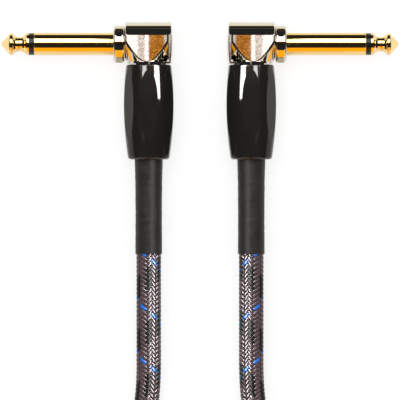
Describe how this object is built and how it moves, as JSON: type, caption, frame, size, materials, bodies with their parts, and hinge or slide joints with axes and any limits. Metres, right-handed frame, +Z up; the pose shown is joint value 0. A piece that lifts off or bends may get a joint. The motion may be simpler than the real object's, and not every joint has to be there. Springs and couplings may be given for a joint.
{
  "type": "instrument cable",
  "caption": "Short instrument cable with a woven jacket and a right-angle quarter-inch phone plug on each end, with screw-on barrels.",
  "frame": {"origin": "on the surface the cable lies on, below the centre of the box round the two plugs and their heat-shrink sleeves", "axes": "+X from the left plug's tip to the right plug's tip, +Y from the cable's loop towards the plugs, +Z up"},
  "size_m": [0.1128, 0.2109, 0.0131],
  "materials": {
    "contact_plating": "polished gold plating on brass",
    "head_metal": "polished plated zinc casting, slightly warm",
    "barrel_coating": "gloss black coating on turned metal",
    "shrink_tubing": "matt dark grey heat-shrink tubing",
    "insulator_plastic": "moulded black plastic",
    "tag_metal": "tinned brass sheet",
    "nut_steel": "plated steel",
    "solder": "dull solder",
    "copper": "bare copper wire",
    "collet_plastic": "natural nylon",
    "ring_metal": "turned brass",
    "core_plastic": "foamed polyethylene",
    "jacket_rubber": "soft black jacket",
    "jacket_weave": "woven yarns in black, plum and pinkish white with blue flecks"
  },
  "bodies": {
    "root": {"tip_contact_left": "contact_plating", "tip_contact_right": "contact_plating", "tip_insulator_left": "insulator_plastic", "tip_insulator_right": "insulator_plastic", "sleeve_contact_left": "contact_plating", "sleeve_contact_right": "contact_plating", "shoulder_collar_left": "contact_plating", "shoulder_collar_right": "contact_plating", "ground_lug_left": "tag_metal", "ground_lug_right": "tag_metal", "shank_nut_left": "nut_steel", "shank_nut_right": "nut_steel", "rear_insulator_left": "insulator_plastic", "rear_insulator_right": "insulator_plastic", "tip_lug_left": "tag_metal", "tip_lug_right": "tag_metal", "tip_solder_left": "solder", "tip_solder_right": "solder", "shield_drain_left": "copper", "shield_drain_right": "copper", "ground_solder_left": "solder", "ground_solder_right": "solder", "head_housing_left": "head_metal", "head_housing_right": "head_metal", "rear_cap_left": "head_metal", "rear_cap_right": "head_metal", "cable_collet_left": "collet_plastic", "cable_collet_right": "collet_plastic", "heat_shrink_left": "shrink_tubing", "heat_shrink_right": "shrink_tubing", "cable_conductor": "copper", "cable_dielectric": "core_plastic", "cable_screen": "copper", "cable_inner_jacket": "jacket_rubber", "cable_woven_jacket": "jacket_weave"},
    "clamp_ring_left": {"clamp_ring_left": "ring_metal"},
    "barrel_left": {"barrel_left": "barrel_coating"},
    "clamp_ring_right": {"clamp_ring_right": "ring_metal"},
    "barrel_right": {"barrel_right": "barrel_coating"}
  },
  "joints": [
    {"name": "barrel_travel_left", "type": "slide", "parent": "root", "child": "clamp_ring_left", "axis": [0, -1, 0], "range_m": [0, 0.0055]},
    {"name": "barrel_turn_left", "type": "hinge", "parent": "clamp_ring_left", "child": "barrel_left", "pos_m": [-0.01456, 0, 0.00655], "axis": [0, -1, 0], "range_deg": [0, 1980]},
    {"name": "barrel_travel_right", "type": "slide", "parent": "root", "child": "clamp_ring_right", "axis": [0, -1, 0], "range_m": [0, 0.0055]},
    {"name": "barrel_turn_right", "type": "hinge", "parent": "clamp_ring_right", "child": "barrel_right", "pos_m": [0.01456, 0, 0.00655], "axis": [0, -1, 0], "range_deg": [0, 1980]}
  ],
  "couplings": [
    {"joint": "barrel_travel_left", "follows": "barrel_turn_left", "m_per_rad": 0.00015915},
    {"joint": "barrel_travel_right", "follows": "barrel_turn_right", "m_per_rad": 0.00015915}
  ]
}
